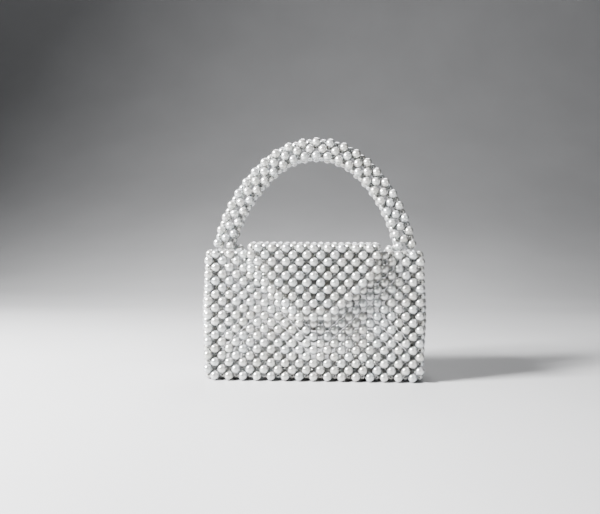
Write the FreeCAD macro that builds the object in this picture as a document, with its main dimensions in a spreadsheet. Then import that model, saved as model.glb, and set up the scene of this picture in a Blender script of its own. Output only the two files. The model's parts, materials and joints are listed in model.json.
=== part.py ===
import FreeCAD, Part
import math
import os

# Pearl evening bag, woven in right-angle weave: round pearls sit on the edges of a square
# lattice and a clear line runs round every lattice cell through the four pearls beside it.
# Frame: millimetres, +Z up, +X to the bag's right, -Y is the front with the flap.
# Origin: on the floor, under the middle of the base.

Vector = FreeCAD.Vector

doc = FreeCAD.newDocument("evening_bag")

# ---------------------------------------------------------------- driving dimensions
SIZES = [
    ("pearl_diameter", 9.9),
    ("pearl_bore", 1.8),
    ("line_diameter", 0.4),
    ("line_offset", 0.4),
    ("cell_width", 14.8),
    ("cell_height", 14.2),
    ("cell_depth", 14.8),
    ("cells_wide", 15),
    ("cells_high", 9),
    ("cells_deep", 5),
    ("shoulder_cells", 2),
    ("shoulder_seat_rise", 3.0),
    ("shoulder_fold_dip", 1.3),
    ("shoulder_lip_rise", 6.5),
    ("shoulder_lip_pull", 2.4),
    ("front_sag", 6.0),
    ("front_drop", 2.7),
    ("sag_full_reach", 30.0),
    ("sag_end_reach", 88.0),
    ("back_belly", 3.0),
    ("gusset_bulge", 8.0),
    ("flap_cells", 9),
    ("flap_cell_width", 14.4),
    ("flap_cell_height", 14.2),
    ("cover_cells", 6),
    ("cover_end_slope", 14.5),
    ("fold_y", -46.8),
    ("fold_height", 139.3),
    ("handle_apex_height", 250.5),
    ("handle_top_radius", 75.3),
    ("handle_top_angle", 42.7),
    ("handle_side_radius", 163.0),
    ("handle_lean", 0.0143),
    ("handle_unit", 14.3),
    ("handle_section_radial", 14.8),
    ("handle_section_depth", 15.4),
    ("handle_leg_units", 6),
    ("handle_units_per_side", 11),
]

sheet = doc.addObject("Spreadsheet::Sheet", "Sizes")
for row, (alias, value) in enumerate(SIZES, start=1):
    sheet.set("A%d" % row, alias)
    sheet.set("B%d" % row, str(value))
    sheet.setAlias("B%d" % row, alias)
doc.recompute()


def size(alias):
    return float(sheet.get(alias))


def count(alias):
    return int(round(size(alias)))


CELLS_WIDE = count("cells_wide")
CELLS_HIGH = count("cells_high")
CELLS_DEEP = count("cells_deep")
FLAP_CELLS = count("flap_cells")
COVER_CELLS = count("cover_cells")
SHOULDER_CELLS = count("shoulder_cells")
UNITS_PER_SIDE = count("handle_units_per_side")
LEG_UNITS = count("handle_leg_units")

BASE_HEIGHT = size("pearl_diameter") / 2
BODY_HEIGHT = CELLS_HIGH * size("cell_height")
RIM_HEIGHT = BASE_HEIGHT + BODY_HEIGHT
HALF_WIDTH = CELLS_WIDE * size("cell_width") / 2
HALF_DEPTH = CELLS_DEEP * size("cell_depth") / 2

# Cells in each row of the flap's front, from the fold down to its blunt tip.
FLAP_ROWS = [FLAP_CELLS, FLAP_CELLS, FLAP_CELLS - 2, FLAP_CELLS - 4, FLAP_CELLS - 6]

# ---------------------------------------------------------------- one pearl
# A drilled round pearl, its bore along Z, that every row of the weave repeats.
ball = doc.addObject("Part::Sphere", "PearlBall")
ball.setExpression("Radius", "Sizes.pearl_diameter / 2")
bore = doc.addObject("Part::Cylinder", "PearlBore")
bore.setExpression("Radius", "Sizes.pearl_bore / 2")
bore.setExpression("Height", "Sizes.pearl_diameter * 2")
bore.setExpression("Placement.Base.z", "-Sizes.pearl_diameter")
drilled = doc.addObject("Part::Cut", "DrilledPearl")
drilled.Base = ball
drilled.Tool = bore
doc.recompute()


def pearl(centre, along):
    """A copy of the drilled pearl at centre, its bore pointing along."""
    shape = drilled.Shape.copy()
    turn = FreeCAD.Rotation(Vector(0, 0, 1), along)
    shape.Placement = FreeCAD.Placement(centre, turn)
    return shape


# ---------------------------------------------------------------- surfaces of the weave
# Each function gives the point at lattice place (u, v) of one panel. Lattice nodes are at
# whole numbers, and pearls sit half way between two nodes.

def middle_weight(x):
    """1 in the middle of the mouth, easing to 0 towards the shoulders."""
    full = size("sag_full_reach")
    end = size("sag_end_reach")
    if abs(x) <= full:
        return 1.0
    if abs(x) >= end:
        return 0.0
    return math.cos((abs(x) - full) / (end - full) * math.pi / 2) ** 2


def lattice_x(u):
    return (u - CELLS_WIDE / 2) * size("cell_width")


def lattice_y(v):
    return (v - CELLS_DEEP / 2) * size("cell_depth")


def front_panel(u, v):
    """The front sags inwards and a little down towards the middle of its rim."""
    x = lattice_x(u)
    rise = max(v / CELLS_HIGH, 0.0)
    y = -HALF_DEPTH + size("front_sag") * middle_weight(x) * rise ** 1.5
    z = BASE_HEIGHT + v * size("cell_height") - size("front_drop") * middle_weight(x) * rise
    return Vector(x, y, z)


def back_panel(u, v):
    """The back bellies out gently at half height, and its rim is straight."""
    x = lattice_x(u)
    belly = math.sin(math.pi * v / CELLS_HIGH) * math.cos(math.pi * x / (2 * HALF_WIDTH))
    return Vector(x, HALF_DEPTH + size("back_belly") * belly, BASE_HEIGHT + v * size("cell_height"))


def mid_depth_weight(v):
    """1 at mid depth, under the handle, easing quickly to 0 towards front and back."""
    return max(math.sin(math.pi * v / CELLS_DEEP), 0.0) ** 6


def gusset(side):
    """An end panel bulges outwards half way up."""
    def place(u, v):
        bulge = math.sin(math.pi * v / CELLS_HIGH) * math.sin(math.pi * u / CELLS_DEEP)
        x = side * (HALF_WIDTH + size("gusset_bulge") * bulge)
        return Vector(x, lattice_y(u), BASE_HEIGHT + v * size("cell_height"))
    return place


def base_panel(u, v):
    return Vector(lattice_x(u), lattice_y(v), BASE_HEIGHT)


def shoulder_rise(u):
    """Height of the shoulder at mid depth above the rim, u cells in from the end.

    It is lifted where the handle stands, folds down beside the leg, and its inner edge
    curls up.
    """
    heights = [0.0, size("shoulder_seat_rise"), size("shoulder_seat_rise") / 2,
               -size("shoulder_fold_dip"), size("shoulder_lip_rise")]
    step = min(max(2 * u, 0.0), len(heights) - 1)
    lower = min(int(step), len(heights) - 2)
    return heights[lower] + (heights[lower + 1] - heights[lower]) * (step - lower)


def shoulder(side):
    """The strip that closes the top at one end, under the handle's leg."""
    def place(u, v):
        weight = mid_depth_weight(v)
        pull = size("shoulder_lip_pull") * max(u / SHOULDER_CELLS, 0.0) ** 6 * weight
        x = side * (HALF_WIDTH - u * size("cell_width") + pull)
        across = v / CELLS_DEEP
        front_y = -HALF_DEPTH + size("front_sag") * middle_weight(x)
        y = front_y + (HALF_DEPTH - front_y) * across
        z = RIM_HEIGHT - size("front_drop") * middle_weight(x) * (1 - across)
        return Vector(x, y, z + shoulder_rise(u) * weight)
    return place


HINGE = Vector(0, HALF_DEPTH, RIM_HEIGHT)
FOLD = Vector(0, size("fold_y"), size("fold_height"))


def flap_cover(u, v):
    """An arc from the back rim forwards over the mouth, narrowing a little to the fold."""
    fraction = v / COVER_CELLS
    width = size("cell_width") + (size("flap_cell_width") - size("cell_width")) * fraction
    chord = FOLD - HINGE
    half_turn = math.radians(size("cover_end_slope"))
    radius = chord.Length / 2 / math.sin(half_turn)
    angle = half_turn * (2 * fraction - 1)
    along = chord.normalize()
    upwards = Vector(0, along.z, -along.y)
    middle = (HINGE + FOLD) * 0.5
    point = middle + along * (radius * math.sin(angle))
    point = point + upwards * (radius * (math.cos(angle) - math.cos(half_turn)))
    return Vector((u - FLAP_CELLS / 2) * width, point.y, point.z)


def flap_front(u, v):
    x = (u - FLAP_CELLS / 2) * size("flap_cell_width")
    return Vector(x, FOLD.y, FOLD.z - v * size("flap_cell_height"))


# ---------------------------------------------------------------- pearls of a panel
TANGENT_STEP = 0.2


def edge_across(surface, u, v):
    """Middle and direction of the lattice edge that runs along u from (u, v)."""
    along = surface(u + 0.5 + TANGENT_STEP, v) - surface(u + 0.5 - TANGENT_STEP, v)
    return surface(u + 0.5, v), along.normalize()


def edge_upright(surface, u, v):
    """Middle and direction of the lattice edge that runs along v from (u, v)."""
    along = surface(u, v + 0.5 + TANGENT_STEP) - surface(u, v + 0.5 - TANGENT_STEP)
    return surface(u, v + 0.5), along.normalize()


def rows_across(surface, cells, rows):
    return [pearl(*edge_across(surface, u, v)) for v in rows for u in cells]


def columns_upright(surface, columns, cells):
    return [pearl(*edge_upright(surface, u, v)) for v in cells for u in columns]


# ---------------------------------------------------------------- beading line
loop_store = {}


def rounded_loop(half_u, half_v, taper):
    """A closed loop of line in the XY plane: a rectangle with round corners.

    It is wider by twice the taper at +Y than at half height, and narrower at -Y.
    """
    key = (round(half_u, 2), round(half_v, 2), round(taper, 2))
    if key in loop_store:
        return loop_store[key]
    round_radius = min(key[0], key[1]) - size("pearl_diameter") * 0.48
    top = key[0] + key[2]
    bottom = key[0] - key[2]
    corners = [Vector(x, y, 0) for x, y in (
        (top, key[1]), (-top, key[1]), (-bottom, -key[1]), (bottom, -key[1]))]
    edges = []
    for index, corner in enumerate(corners):
        back = (corners[index - 1] - corner).normalize()
        ahead = (corners[(index + 1) % 4] - corner).normalize()
        half_angle = back.getAngle(ahead) / 2
        cut = round_radius / math.tan(half_angle)
        inset = round_radius / math.sin(half_angle) - round_radius
        first = corner + back * cut
        mid = corner + (back + ahead).normalize() * inset
        if edges:
            edges.append(Part.LineSegment(end_point, first).toShape())
        else:
            start_point = first
        end_point = corner + ahead * cut
        edges.append(Part.Arc(first, mid, end_point).toShape())
    edges.append(Part.LineSegment(end_point, start_point).toShape())
    path = Part.Wire(edges)
    along = path.Edges[0].tangentAt(path.Edges[0].FirstParameter)
    section = Part.Wire(Part.makeCircle(size("line_diameter") / 2, start_point, along))
    loop_store[key] = path.makePipeShell([section], True, True)
    return loop_store[key]


def line_loop(left, right, low, high, half_turn=0.0):
    """The line round one cell, through the bores of the four pearls at these points.

    half_turn is the angle by which the left and right bores open towards the high side.
    """
    across = right - left
    upwards = high - low
    centre = (left + right + low + high) * 0.25
    normal = across.cross(upwards)
    half_u = across.Length / 2 - size("line_offset")
    half_v = upwards.Length / 2 - size("line_offset")
    turn = FreeCAD.Rotation(across, normal.cross(across), normal, "ZXY")
    shape = rounded_loop(half_u, half_v, half_v * math.tan(half_turn)).copy()
    shape.Placement = FreeCAD.Placement(centre, turn)
    return shape


def cell_loop(surface, u, v):
    left = surface(u, v + 0.5)
    right = surface(u + 1, v + 0.5)
    low = surface(u + 0.5, v)
    high = surface(u + 0.5, v + 1)
    return line_loop(left, right, low, high)


def panel_line(surface, wide, high):
    return [cell_loop(surface, u, v) for v in range(high) for u in range(wide)]


def twisted_loop(surface, u, v):
    """The line round a cell whose four pearls don't lie in one plane.

    Its two ends stop just short of each other inside the low pearl's bore.
    """
    low = edge_across(surface, u, v)
    right = edge_upright(surface, u + 1, v)
    high = edge_across(surface, u, v + 1)
    left = edge_upright(surface, u, v)
    sides = [low, right, (high[0], high[1] * -1), (left[0], left[1] * -1)]
    centre = (low[0] + right[0] + high[0] + left[0]) * 0.25
    reach = size("pearl_diameter") * 0.43
    runs = []
    for middle, along in sides:
        inwards = centre - middle
        inwards = (inwards - along * inwards.dot(along)).normalize()
        middle = middle + inwards * size("line_offset")
        runs.append((middle - along * reach, middle + along * reach, along))
    gap = low[1] * (size("line_diameter") / 4)
    cut = (runs[0][0] + runs[0][1]) * 0.5
    edges = [Part.LineSegment(cut + gap, runs[0][1]).toShape()]
    for index, (_, leave, along) in enumerate(runs):
        enter, far_end, onwards = runs[(index + 1) % 4]
        bend = Part.BSplineCurve()
        bend.interpolate(Points=[leave, enter], InitialTangent=along, FinalTangent=onwards)
        edges.append(bend.toShape())
        if index < 3:
            edges.append(Part.LineSegment(enter, far_end).toShape())
    edges.append(Part.LineSegment(runs[0][0], cut - gap).toShape())
    section = Part.Wire(Part.makeCircle(size("line_diameter") / 2, cut + gap, low[1]))
    return Part.Wire(edges).makePipeShell([section], True, True)


def twisted_panel_line(surface, wide, high):
    return [twisted_loop(surface, u, v) for v in range(high) for u in range(wide)]


# ---------------------------------------------------------------- the handle's tube
# The centreline is an arch of two tangent radii. A tube one cell square follows it: four
# lengthwise pearls at the middle of each unit, and a ring of four pearls between units.

def handle_frame(distance):
    """Centre, direction along the handle and outward normal, from the apex to the right."""
    top_radius = size("handle_top_radius")
    side_radius = size("handle_side_radius")
    top_turn = math.radians(size("handle_top_angle"))
    top_length = top_radius * top_turn
    reach = min(abs(distance), top_length)
    turn = reach / top_radius
    x = top_radius * math.sin(turn)
    z = size("handle_apex_height") - top_radius * (1 - math.cos(turn))
    if abs(distance) > top_length:
        turn = top_turn + (abs(distance) - top_length) / side_radius
        x = x + side_radius * (math.sin(turn) - math.sin(top_turn))
        z = z - side_radius * (math.cos(top_turn) - math.cos(turn))
    side = 1 if distance >= 0 else -1
    lean = size("handle_lean")
    centre = Vector(side * x + lean * (z - RIM_HEIGHT), 0, z)
    along = Vector(math.cos(turn) - lean * side * math.sin(turn), 0, -side * math.sin(turn))
    along.normalize()
    return centre, along, Vector(-along.z, 0, along.x)


def handle_corner(unit, radial, depth):
    """A lengthwise pearl's place: radial and depth are each -1 or 1."""
    centre, along, outwards = handle_frame(unit * size("handle_unit"))
    offset = outwards * (radial * size("handle_section_radial") / 2)
    return centre + offset + Vector(0, depth * size("handle_section_depth") / 2, 0), along


def handle_ring(unit, radial, depth):
    """A ring pearl's place, half a unit on from unit. One of radial and depth is 0."""
    centre, along, outwards = handle_frame((unit + 0.5) * size("handle_unit"))
    offset = outwards * (radial * size("handle_section_radial") / 2)
    direction = outwards if radial == 0 else Vector(0, 1, 0)
    return centre + offset + Vector(0, depth * size("handle_section_depth") / 2, 0), direction


CORNERS = [(1, -1), (1, 1), (-1, 1), (-1, -1)]
RING = [(1, 0), (0, 1), (-1, 0), (0, -1)]


def handle_pearls(first, last, rings):
    shapes = []
    for unit in range(first, last + 1):
        shapes += [pearl(*handle_corner(unit, radial, depth)) for radial, depth in CORNERS]
    for unit in rings:
        shapes += [pearl(*handle_ring(unit, radial, depth)) for radial, depth in RING]
    return shapes


def handle_line(first, last):
    """Four loops of line round each unit: front, back, outer and inner face."""
    shapes = []
    for unit in range(first, last + 1):
        for index, (radial, depth) in enumerate(RING):
            before, bore_before = handle_ring(unit - 1, radial, depth)
            after, bore_after = handle_ring(unit, radial, depth)
            if radial:
                low, high = [handle_corner(unit, radial, side)[0] for side in (-1, 1)]
            else:
                low, high = [handle_corner(unit, side, depth)[0] for side in (-1, 1)]
            half_turn = bore_before.getAngle(bore_after) / 2
            shapes.append(line_loop(before, after, low, high, half_turn))
    return shapes


# ---------------------------------------------------------------- every node of the bag
def inside(cells):
    return range(1, cells)


def corner_pearls(side):
    """The two upright corner columns at one end, front and back."""
    column = CELLS_WIDE if side > 0 else 0
    heights = range(CELLS_HIGH)
    return columns_upright(front_panel, [column], heights) + columns_upright(back_panel, [column], heights)


def gusset_pearls(side):
    place = gusset(side)
    rows = rows_across(place, range(CELLS_DEEP), range(CELLS_HIGH + 1))
    return rows + columns_upright(place, inside(CELLS_DEEP), range(CELLS_HIGH))


def shoulder_pearls(side):
    place = shoulder(side)
    rows = rows_across(place, range(SHOULDER_CELLS), inside(CELLS_DEEP))
    return rows + columns_upright(place, range(1, SHOULDER_CELLS + 1), range(CELLS_DEEP))


def flap_front_pearls():
    shapes = []
    for row, cells in enumerate(FLAP_ROWS):
        first = (FLAP_CELLS - cells) // 2
        shapes += columns_upright(flap_front, range(first, first + cells + 1), [row])
        shapes += rows_across(flap_front, range(first, first + cells), [row + 1])
    return shapes


def flap_front_line():
    shapes = []
    for row, cells in enumerate(FLAP_ROWS):
        first = (FLAP_CELLS - cells) // 2
        shapes += [cell_loop(flap_front, u, row) for u in range(first, first + cells)]
    return shapes


wide = range(CELLS_WIDE)
high = range(CELLS_HIGH)
arch_end = UNITS_PER_SIDE - LEG_UNITS

nodes = {}
nodes["front_panel_pearls"] = (
    rows_across(front_panel, wide, inside(CELLS_HIGH)) + columns_upright(front_panel, inside(CELLS_WIDE), high)
)
nodes["front_rim_pearls"] = rows_across(front_panel, wide, [CELLS_HIGH])
nodes["front_base_edge_pearls"] = rows_across(front_panel, wide, [0])
nodes["back_panel_pearls"] = (
    rows_across(back_panel, wide, inside(CELLS_HIGH)) + columns_upright(back_panel, inside(CELLS_WIDE), high)
)
nodes["back_rim_pearls"] = rows_across(back_panel, wide, [CELLS_HIGH])
nodes["back_base_edge_pearls"] = rows_across(back_panel, wide, [0])
nodes["base_panel_pearls"] = (
    rows_across(base_panel, wide, inside(CELLS_DEEP))
    + columns_upright(base_panel, inside(CELLS_WIDE), range(CELLS_DEEP))
)
nodes["flap_cover_pearls"] = (
    rows_across(flap_cover, range(FLAP_CELLS), inside(COVER_CELLS))
    + columns_upright(flap_cover, range(FLAP_CELLS + 1), range(COVER_CELLS))
)
nodes["flap_fold_pearls"] = rows_across(flap_cover, range(FLAP_CELLS), [COVER_CELLS])
nodes["flap_front_pearls"] = flap_front_pearls()

for side, name in ((-1, "left"), (1, "right")):
    nodes[name + "_corner_pearls"] = corner_pearls(side)
    nodes[name + "_gusset_pearls"] = gusset_pearls(side)
    nodes[name + "_shoulder_pearls"] = shoulder_pearls(side)
    nodes[name + "_gusset_line"] = panel_line(gusset(side), CELLS_DEEP, CELLS_HIGH)
    nodes[name + "_shoulder_line"] = twisted_panel_line(
        shoulder(side), SHOULDER_CELLS, CELLS_DEEP)

nodes["handle_arch_pearls"] = handle_pearls(-arch_end, arch_end, range(-arch_end, arch_end))
nodes["handle_left_leg_pearls"] = handle_pearls(
    -UNITS_PER_SIDE, -arch_end - 1, range(-UNITS_PER_SIDE, -arch_end))
nodes["handle_right_leg_pearls"] = handle_pearls(
    arch_end + 1, UNITS_PER_SIDE, range(arch_end, UNITS_PER_SIDE))

nodes["front_panel_line"] = panel_line(front_panel, CELLS_WIDE, CELLS_HIGH)
nodes["back_panel_line"] = panel_line(back_panel, CELLS_WIDE, CELLS_HIGH)
nodes["base_panel_line"] = panel_line(base_panel, CELLS_WIDE, CELLS_DEEP)
nodes["flap_cover_line"] = panel_line(flap_cover, FLAP_CELLS, COVER_CELLS)
nodes["flap_front_line"] = flap_front_line()
nodes["handle_arch_line"] = handle_line(-arch_end, arch_end)
nodes["handle_left_leg_line"] = handle_line(1 - UNITS_PER_SIDE, -arch_end - 1)
nodes["handle_right_leg_line"] = handle_line(arch_end + 1, UNITS_PER_SIDE - 1)

for name, shapes in nodes.items():
    feature = doc.addObject("Part::Feature", name)
    feature.Label = name
    feature.Shape = Part.makeCompound(shapes)
    feature.Placement = FreeCAD.Placement()
doc.recompute()

# ---------------------------------------------------------------- checks and files
faults = [item.Name for item in doc.Objects if "Invalid" in item.State or "Error" in item.State]
for name in nodes:
    shape = doc.getObject(name).Shape
    if shape.isNull() or not shape.isValid():
        faults.append(name)
if faults:
    raise RuntimeError("failed objects: " + ", ".join(faults))

os.makedirs("parts", exist_ok=True)
total = 0
for name in nodes:
    shape = doc.getObject(name).Shape
    shape.exportStep("parts/" + name + ".step")
    total += len(shape.Solids)
    print(name, len(shape.Solids), "solids, %.2f cm3" % (shape.Volume / 1000))
print(len(nodes), "nodes,", total, "solids")
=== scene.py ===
import json
import math
import random

import bpy
import numpy as np
from mathutils import Euler, Matrix, Vector


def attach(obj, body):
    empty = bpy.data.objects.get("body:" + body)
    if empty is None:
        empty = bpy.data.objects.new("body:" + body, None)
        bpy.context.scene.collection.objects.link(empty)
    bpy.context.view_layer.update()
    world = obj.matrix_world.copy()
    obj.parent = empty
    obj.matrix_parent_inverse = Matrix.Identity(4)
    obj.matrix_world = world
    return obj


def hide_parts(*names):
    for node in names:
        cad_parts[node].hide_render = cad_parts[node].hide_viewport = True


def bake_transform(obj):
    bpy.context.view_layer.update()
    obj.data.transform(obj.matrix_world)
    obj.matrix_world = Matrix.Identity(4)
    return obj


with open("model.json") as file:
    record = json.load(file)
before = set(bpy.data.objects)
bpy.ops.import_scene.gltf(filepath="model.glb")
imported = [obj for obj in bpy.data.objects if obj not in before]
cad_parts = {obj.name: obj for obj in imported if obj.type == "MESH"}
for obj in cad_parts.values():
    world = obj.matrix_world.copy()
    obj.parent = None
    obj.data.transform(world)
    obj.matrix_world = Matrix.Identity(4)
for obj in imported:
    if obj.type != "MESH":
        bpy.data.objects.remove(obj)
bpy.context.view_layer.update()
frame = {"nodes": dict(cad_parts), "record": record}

MM = 0.001

# One drilled pearl. The mouth of its bore is countersunk: lip, then throat.
PEARL_RADIUS = 4.95 * MM
BORE_RADIUS = 0.85 * MM
MOUTH_RADIUS = 1.3 * MM
MOUTH_DEPTH = 0.28 * MM
LIP_FLARE = 1.15
LIP_DEPTH_SHARE = 0.45
# Share of the bore's painted shade and dullness that falls on the rim ring round each mouth.
RIM_SHADE_AND_DULL_WEIGHT = 0.25
PEARL_SEGMENTS = 24
PEARL_RINGS = 11

# How pearls differ from one another: size, place, lean of the bore.
SMALLEST_PEARL = 0.992
LARGEST_PEARL = 1.004
PLACE_SPREAD = 0.05 * MM
LEAN_SPREAD = 0.02

# Sewing line at the foot of the handle.
LINE_RADIUS = 0.2 * MM
LINE_SIDES = 8
LINE_STEPS = 10
LINE_PULL = 0.55
LINE_TUCK = 0.8 * MM
PEARLS_ROUND_LEG = 4
SEATS_PER_PEARL = 2

# Corners of a CAD mesh nearer than this are one corner.
WELD_DISTANCE = 1e-7

random.seed(20)


# ---------------------------------------------------------------- mesh helpers
def shade_smooth(mesh):
    mesh.polygons.foreach_set("use_smooth", [True] * len(mesh.polygons))


def make_piece(name, points, faces, material):
    """A smooth-shaded mesh object with one material, linked to the scene."""
    mesh = bpy.data.meshes.new(name)
    mesh.from_pydata(points, [], faces)
    shade_smooth(mesh)
    mesh.materials.append(material)
    piece = bpy.data.objects.new(name, mesh)
    bpy.context.collection.objects.link(piece)
    return piece


# ---------------------------------------------------------------- node material helpers
def new_material(name):
    material = bpy.data.materials.new(name)
    material.use_nodes = True
    tree = material.node_tree
    shader = next(node for node in tree.nodes if node.type == "BSDF_PRINCIPLED")
    return material, tree, shader


def add_node(tree, kind, **settings):
    node = tree.nodes.new(kind)
    for key, value in settings.items():
        setattr(node, key, value)
    return node


def noise(tree, scale, detail=3.0):
    """Noise in object space, so it stays put on the piece from every side."""
    place = add_node(tree, "ShaderNodeTexCoord")
    texture = add_node(tree, "ShaderNodeTexNoise")
    texture.inputs["Scale"].default_value = scale
    texture.inputs["Detail"].default_value = detail
    texture.inputs["Roughness"].default_value = 0.5
    tree.links.new(place.outputs["Object"], texture.inputs["Vector"])
    return texture.outputs["Fac"]


def colour_ramp(tree, source, stops):
    ramp = add_node(tree, "ShaderNodeValToRGB")
    while len(ramp.color_ramp.elements) < len(stops):
        ramp.color_ramp.elements.new(0.5)
    for element, (position, colour) in zip(ramp.color_ramp.elements, stops):
        element.position = position
        element.color = (*colour, 1.0)
    tree.links.new(source, ramp.inputs["Fac"])
    return ramp.outputs["Color"]


def map_range(tree, source, low, high):
    node = add_node(tree, "ShaderNodeMapRange")
    node.inputs["To Min"].default_value = low
    node.inputs["To Max"].default_value = high
    tree.links.new(source, node.inputs["Value"])
    return node.outputs["Result"]


def mix_colour(tree, factor, first, second, blend="MIX"):
    """Mixes two colour sockets; factor is a socket or a number."""
    node = add_node(tree, "ShaderNodeMix", data_type="RGBA", blend_type=blend)
    if isinstance(factor, float):
        node.inputs["Factor"].default_value = factor
    else:
        tree.links.new(factor, node.inputs["Factor"])
    tree.links.new(first, node.inputs["A"])
    if isinstance(second, tuple):
        node.inputs["B"].default_value = (*second, 1.0)
    else:
        tree.links.new(second, node.inputs["B"])
    return node.outputs["Result"]


# ---------------------------------------------------------------- materials
def pearl_material():
    """Imitation pearl: lacquered nacre with a clear gloss coat, duller round its bore, with
    painted shade darkening the bore's mouth and, faintly, its rim.
    """
    material, tree, shader = new_material("pearl_nacre")
    island = add_node(tree, "ShaderNodeNewGeometry").outputs["Random Per Island"]
    own_tone = colour_ramp(tree, island, [
        (0.0, (0.60, 0.59, 0.565)),
        (0.35, (0.67, 0.66, 0.645)),
        (0.7, (0.64, 0.65, 0.66)),
        (1.0, (0.72, 0.715, 0.70)),
    ])
    swirl = colour_ramp(tree, noise(tree, 260.0, detail=4.0), [
        (0.36, (0.93, 0.90, 0.91)),
        (0.5, (1.0, 1.0, 1.0)),
        (0.64, (0.90, 0.94, 0.93)),
    ])
    nacre = mix_colour(tree, 0.75, own_tone, swirl, blend="MULTIPLY")
    # Painted shade: the bore's mouth is mixed to dark grey and its rim partly so; the same weight
    # also raises the roughness there.
    hole = add_node(tree, "ShaderNodeAttribute", attribute_name="bore_shade_and_dull").outputs["Fac"]
    tree.links.new(mix_colour(tree, hole, nacre, (0.30, 0.29, 0.27)), shader.inputs["Base Color"])

    grain = map_range(tree, noise(tree, 900.0), 0.15, 0.29)
    dull = add_node(tree, "ShaderNodeMath", operation="MULTIPLY_ADD")
    dull.inputs[1].default_value = 0.4
    tree.links.new(hole, dull.inputs[0])
    tree.links.new(grain, dull.inputs[2])
    tree.links.new(dull.outputs["Value"], shader.inputs["Roughness"])

    bump = add_node(tree, "ShaderNodeBump")
    bump.inputs["Strength"].default_value = 0.18
    bump.inputs["Distance"].default_value = 0.00006
    tree.links.new(noise(tree, 700.0, detail=2.0), bump.inputs["Height"])
    tree.links.new(bump.outputs["Normal"], shader.inputs["Normal"])

    shader.inputs["Metallic"].default_value = 0.6
    shader.inputs["IOR"].default_value = 1.56
    shader.inputs["Subsurface Weight"].default_value = 0.12
    shader.inputs["Subsurface Radius"].default_value = (1.0, 0.9, 0.8)
    shader.inputs["Subsurface Scale"].default_value = 0.0015
    shader.inputs["Coat Weight"].default_value = 1.0
    shader.inputs["Coat Roughness"].default_value = 0.03
    shader.inputs["Coat IOR"].default_value = 1.5
    shader.inputs["Thin Film Thickness"].default_value = 420.0
    shader.inputs["Thin Film IOR"].default_value = 1.38
    return material


def line_material():
    """Clear nylon line, with the faint waviness of drawn monofilament."""
    material, tree, shader = new_material("nylon_line")
    tone = colour_ramp(tree, noise(tree, 400.0), [
        (0.3, (0.70, 0.72, 0.74)),
        (0.7, (0.84, 0.85, 0.86)),
    ])
    tree.links.new(tone, shader.inputs["Base Color"])
    tree.links.new(map_range(tree, noise(tree, 1500.0), 0.12, 0.28), shader.inputs["Roughness"])
    shader.inputs["IOR"].default_value = 1.53
    shader.inputs["Transmission Weight"].default_value = 0.6
    return material


def studio_material():
    material, tree, shader = new_material("pale_studio")
    tone = colour_ramp(tree, noise(tree, 3.0), [
        (0.3, (0.47, 0.47, 0.475)),
        (0.7, (0.50, 0.50, 0.505)),
    ])
    tree.links.new(tone, shader.inputs["Base Color"])
    shader.inputs["Roughness"].default_value = 0.45
    return material


PEARL = pearl_material()
LINE = line_material()


# ---------------------------------------------------------------- one drilled pearl
def pearl_profile():
    """(radius, height) down the outside from mouth to mouth, then up through the bore."""
    mouth_height = math.sqrt(PEARL_RADIUS ** 2 - MOUTH_RADIUS ** 2)
    top = math.asin(MOUTH_RADIUS / PEARL_RADIUS)
    angles = np.linspace(top, math.pi - top, PEARL_RINGS)
    outside = [(PEARL_RADIUS * math.sin(a), PEARL_RADIUS * math.cos(a)) for a in angles]
    lip = (BORE_RADIUS * LIP_FLARE, mouth_height - MOUTH_DEPTH * LIP_DEPTH_SHARE)
    throat = (BORE_RADIUS, mouth_height - MOUTH_DEPTH)
    mirrored = [(r, -z) for r, z in (lip, throat)]
    return outside + mirrored + [throat, lip]


def pearl_mesh():
    """Vertices, quads and the bore weight of one pearl whose bore is along Z: painted shade and
    dullness, full in the mouths, partial on the rims.
    """
    profile = pearl_profile()
    turns = np.arange(PEARL_SEGMENTS) * 2 * math.pi / PEARL_SEGMENTS
    points = [(r * math.cos(t), r * math.sin(t), z) for r, z in profile for t in turns]
    rows = len(profile)
    quads = []
    for row in range(rows):
        below = (row + 1) % rows
        for spoke in range(PEARL_SEGMENTS):
            beside = (spoke + 1) % PEARL_SEGMENTS
            quads.append((
                row * PEARL_SEGMENTS + spoke,
                below * PEARL_SEGMENTS + spoke,
                below * PEARL_SEGMENTS + beside,
                row * PEARL_SEGMENTS + beside,
            ))
    # Weight per ring for painted shade and dullness: full in the mouth, partial on the rim, none
    # elsewhere.
    weights = []
    for row in range(rows):
        in_mouth = row >= PEARL_RINGS
        on_rim = row in (0, PEARL_RINGS - 1)
        weights += [1.0 if in_mouth else RIM_SHADE_AND_DULL_WEIGHT if on_rim else 0.0] * PEARL_SEGMENTS
    return np.array(points), np.array(quads), np.array(weights)


POINTS, QUADS, BORE_SHADE_AND_DULL_WEIGHTS = pearl_mesh()


# ---------------------------------------------------------------- the pearls of a CAD node
def islands(node):
    """The node's welded vertices, its triangles, and for each vertex the solid it is on."""
    mesh = node.data
    mesh.calc_loop_triangles()
    places = np.empty(len(mesh.vertices) * 3)
    mesh.vertices.foreach_get("co", places)
    places = places.reshape(-1, 3)
    triangles = np.empty(len(mesh.loop_triangles) * 3, dtype=np.int64)
    mesh.loop_triangles.foreach_get("vertices", triangles)
    _, first, welded = np.unique(
        np.round(places / WELD_DISTANCE), axis=0, return_index=True, return_inverse=True)
    places = places[first]
    triangles = welded.reshape(-1)[triangles].reshape(-1, 3)
    labels = np.arange(len(places))
    while True:
        lowest = labels[triangles].min(axis=1)
        spread = labels.copy()
        for corner in range(3):
            np.minimum.at(spread, triangles[:, corner], lowest)
        spread = spread[spread]
        if np.array_equal(spread, labels):
            break
        labels = spread
    return places, triangles, labels


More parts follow.
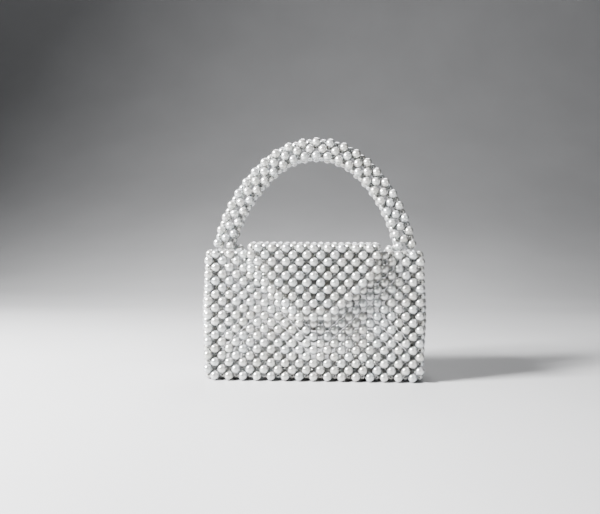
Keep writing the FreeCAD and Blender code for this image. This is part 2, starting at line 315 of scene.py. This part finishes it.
def drilled_pearls(node):
    """Centre and bore direction of every pearl in a CAD node.

    All vertices of a drilled pearl lie on its sphere, which gives the centre. The faces
    whose normals point at the middle are the bore's wall, and no wall normal has a part
    along the bore.
    """
    places, triangles, labels = islands(node)
    found = []
    triangle_labels = labels[triangles[:, 0]]
    for label in np.unique(labels):
        own = places[labels == label]
        shift = own.mean(axis=0)
        local = own - shift
        system = np.hstack([2 * local, np.ones((len(local), 1))])
        sphere = np.linalg.lstsq(system, (local ** 2).sum(axis=1), rcond=None)[0]
        centre = sphere[:3] + shift
        corners = places[triangles[triangle_labels == label]] - centre
        normals = np.cross(corners[:, 1] - corners[:, 0], corners[:, 2] - corners[:, 0])
        wall = (normals * corners.mean(axis=1)).sum(axis=1) < 0
        spread = normals[wall].T @ normals[wall]
        direction = np.linalg.eigh(spread)[1][:, 0]
        found.append((centre, direction))
    return found


def scatter_pearls(name, node_name):
    """A mesh of finely made pearls on the places of a CAD node's solids."""
    found = drilled_pearls(frame["nodes"][node_name])
    points = []
    for centre, direction in found:
        spin = random.uniform(0, 2 * math.pi)
        lean = Vector([random.gauss(0, LEAN_SPREAD) for _ in range(3)])
        turn = Vector((0, 0, 1)).rotation_difference(Vector(direction) + lean)
        rotation = np.array(turn.to_matrix() @ Matrix.Rotation(spin, 3, "Z"))
        growth = random.uniform(SMALLEST_PEARL, LARGEST_PEARL)
        nudge = np.array([random.gauss(0, PLACE_SPREAD) for _ in range(3)])
        points.append(POINTS @ rotation.T * growth + centre + nudge)
    quads = np.concatenate([QUADS + index * len(POINTS) for index in range(len(found))])
    piece = make_piece(name, np.concatenate(points).tolist(), quads.tolist(), PEARL)
    # The bore weights carry painted shade into the pearl colour and dullness into its roughness.
    hole = piece.data.attributes.new("bore_shade_and_dull", "FLOAT", "POINT")
    hole.data.foreach_set("value", np.tile(BORE_SHADE_AND_DULL_WEIGHTS, len(found)).astype(np.float32))
    return piece


BODY_OF_NODE = {
    node: body
    for body, members in frame["record"]["behaviour"]["bodies"].items()
    for node in members
}


def make_weave():
    """Every pearl node is replaced; every line node keeps its CAD shape."""
    for node_name, node in frame["nodes"].items():
        if node_name.endswith("_pearls"):
            piece = scatter_pearls(node_name.replace("_pearls", "_nacre"), node_name)
            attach(piece, BODY_OF_NODE[node_name])
            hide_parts(node_name)
        else:
            node.data.materials.clear()
            node.data.materials.append(LINE)
            shade_smooth(node.data)


# ---------------------------------------------------------------- sewing of the handle
def bore_ends(pearl):
    centre, direction = (Vector(part) for part in pearl)
    half_bore = math.sqrt(PEARL_RADIUS ** 2 - BORE_RADIUS ** 2)
    return [(centre + direction * half_bore * sign, direction * sign) for sign in (-1, 1)]


def strand(start, start_way, end, end_way):
    """A thin tube from one hole to another, leaving both straight along their bores."""
    pull = (end - start).length * LINE_PULL
    handles = [start, start + start_way * pull, end + end_way * pull, end]
    points = []
    for step in range(LINE_STEPS + 1):
        t = step / LINE_STEPS
        share = ((1 - t) ** 3, 3 * t * (1 - t) ** 2, 3 * t * t * (1 - t), t ** 3)
        slope = (-(1 - t) ** 2, (1 - t) * (1 - 3 * t), t * (2 - 3 * t), t * t)
        middle = sum((handle * part for handle, part in zip(handles, share)), Vector())
        along = sum((handle * part for handle, part in zip(handles, slope)), Vector())
        along.normalize()
        if step == 0:
            first = along.orthogonal().normalized()
        else:
            first = (first - along * first.dot(along)).normalized()
        second = along.cross(first)
        for side in range(LINE_SIDES):
            angle = side / LINE_SIDES * 2 * math.pi
            outwards = first * math.cos(angle) + second * math.sin(angle)
            points.append(middle + outwards * LINE_RADIUS)
    quads = [
        (row * LINE_SIDES + side, row * LINE_SIDES + (side + 1) % LINE_SIDES,
         (row + 1) * LINE_SIDES + (side + 1) % LINE_SIDES, (row + 1) * LINE_SIDES + side)
        for row in range(LINE_STEPS) for side in range(LINE_SIDES)
    ]
    last_ring = LINE_STEPS * LINE_SIDES
    caps = [tuple(reversed(range(LINE_SIDES))), tuple(range(last_ring, last_ring + LINE_SIDES))]
    return points, quads + caps


def sew_handle():
    """From each lowest pearl of a leg, one strand to each of the two pearls nearest to it."""
    points = []
    faces = []
    for side in ("left", "right"):
        leg = drilled_pearls(frame["nodes"]["handle_%s_leg_pearls" % side])
        leg.sort(key=lambda pearl: pearl[0][2])
        seat = drilled_pearls(frame["nodes"]["%s_shoulder_pearls" % side])
        seat += drilled_pearls(frame["nodes"]["%s_gusset_pearls" % side])
        for foot in leg[:PEARLS_ROUND_LEG]:
            start, start_way = min(bore_ends(foot), key=lambda mouth: mouth[0].z)
            tucked_start = start - start_way * LINE_TUCK
            nearest = sorted(seat, key=lambda pearl: np.linalg.norm(pearl[0] - foot[0]))
            for pearl in nearest[:SEATS_PER_PEARL]:
                mouths = bore_ends(pearl)
                end, end_way = min(mouths, key=lambda mouth: (mouth[0] - start).length)
                tucked_end = end - end_way * LINE_TUCK
                more, tube = strand(tucked_start, start_way, tucked_end, end_way)
                faces += [tuple(index + len(points) for index in face) for face in tube]
                points += more
    points = [tuple(point) for point in points]
    piece = make_piece("handle_base_strands", points, faces, LINE)
    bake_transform(piece)


# ---------------------------------------------------------------- studio
def make_studio():
    """A pale floor that curves up into a backdrop behind the bag."""
    half_width = 3.0
    front = -3.0
    back = 0.8
    bend = 2.2
    bend_steps = 12
    height = 4.0
    profile = [(front, 0.0), (back, 0.0)]
    for step in range(1, bend_steps + 1):
        angle = step / bend_steps * math.pi / 2
        profile.append((back + bend * math.sin(angle), bend * (1 - math.cos(angle))))
    profile.append((back + bend, height))
    points = [(x, y, z) for y, z in profile for x in (-half_width, half_width)]
    quads = [(2 * i, 2 * i + 1, 2 * i + 3, 2 * i + 2) for i in range(len(profile) - 1)]
    floor = make_piece("studio_floor", points, quads, studio_material())


def area_light(name, place, aim, size, power):
    data = bpy.data.lights.new(name, "AREA")
    data.shape = "SQUARE"
    data.size = size
    data.energy = power
    lamp = bpy.data.objects.new(name, data)
    lamp.location = place
    direction = Vector(aim) - Vector(place)
    lamp.rotation_euler = direction.to_track_quat("-Z", "Y").to_euler()
    bpy.context.collection.objects.link(lamp)


def make_lights():
    middle = (0.0, 0.0, 0.13)
    area_light("key_upper_left", (-0.95, -0.42, 0.85), middle, size=0.32, power=88.0)
    area_light("fill_right", (1.1, -1.0, 0.5), middle, size=0.9, power=5.0)
    area_light("top_back", (0.1, 0.9, 1.3), middle, size=0.8, power=12.0)
    world = bpy.data.worlds.new("studio_world")
    world.use_nodes = True
    background = world.node_tree.nodes["Background"]
    background.inputs["Color"].default_value = (0.80, 0.82, 0.85, 1.0)
    background.inputs["Strength"].default_value = 0.14
    bpy.context.scene.world = world


def make_camera():
    """Just under the bag's rim, turned 1.75 degrees, 0.55 m in front of the bag."""
    data = bpy.data.cameras.new("camera")
    data.sensor_width = 36.0
    data.lens = 31.4
    camera = bpy.data.objects.new("camera", data)
    turn = Euler((math.radians(90.4), 0.0, math.radians(1.75))).to_matrix()
    roll = Matrix.Rotation(math.radians(0.4), 3, "Z")
    camera.matrix_world = Matrix.Translation((0.0021, -0.5868, 0.1263)) @ (turn @ roll).to_4x4()
    bpy.context.collection.objects.link(camera)
    bpy.context.scene.camera = camera
    bpy.context.scene.view_settings.look = "AgX - Medium High Contrast"


make_camera()
make_weave()
sew_handle()
make_studio()
make_lights()
